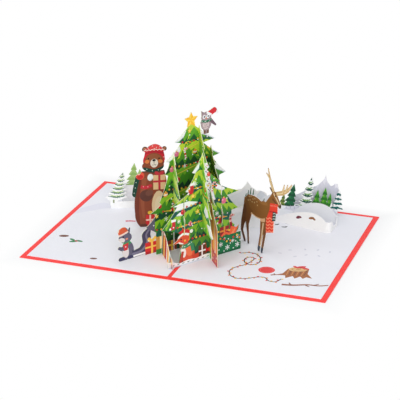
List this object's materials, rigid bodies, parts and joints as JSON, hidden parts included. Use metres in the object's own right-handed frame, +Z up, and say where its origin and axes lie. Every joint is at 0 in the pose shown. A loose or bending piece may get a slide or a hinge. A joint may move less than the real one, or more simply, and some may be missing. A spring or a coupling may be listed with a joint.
{
  "type": "pop-up card",
  "caption": "Opened pop-up greeting card with a slotted paper tree, a bear, a deer, small animals and snowy scenery standing on its pages.",
  "frame": {"origin": "centre of the opened card's underside, on the fold line", "axes": "+X across the fold towards the right page, +Y along the fold towards the back of the scene, +Z up"},
  "size_m": [0.254, 0.178, 0.1153],
  "materials": {
    "bank_left": "printed card, a snowy fir on white snow",
    "bear": "printed card, brown",
    "centre_slice": "printed card, green above and striped presents below",
    "cover": "smooth uncoated red card",
    "deer": "printed card, brown",
    "forest": "printed card, green firs with snow",
    "front_slice": "printed card, light green",
    "hill": "white card",
    "left_firs": "printed card, pale green firs on a pale slope",
    "left_slice": "printed card, light green",
    "left_strip": "printed card, striped presents",
    "liner_left": "printed pale liner, matt",
    "liner_right": "printed pale liner, matt",
    "mountains": "printed card, pale grey",
    "ridge": "printed card, pale grey",
    "right_slice": "printed card, dark olive green",
    "tree_back": "printed card, greens with small ornaments",
    "tree_front": "printed card, greens with small ornaments"
  },
  "bodies": {
    "root": {"bank_left": "bank_left", "bear": "bear", "centre_slice": "centre_slice", "cover": "cover", "deer": "deer", "forest": "forest", "front_slice": "front_slice", "hill": "hill", "left_firs": "left_firs", "left_slice": "left_slice", "left_strip": "left_strip", "liner_left": "liner_left", "liner_right": "liner_right", "mountains": "mountains", "ridge": "ridge", "right_slice": "right_slice", "tree_back": "tree_back", "tree_front": "tree_front"}
  },
  "joints": []
}
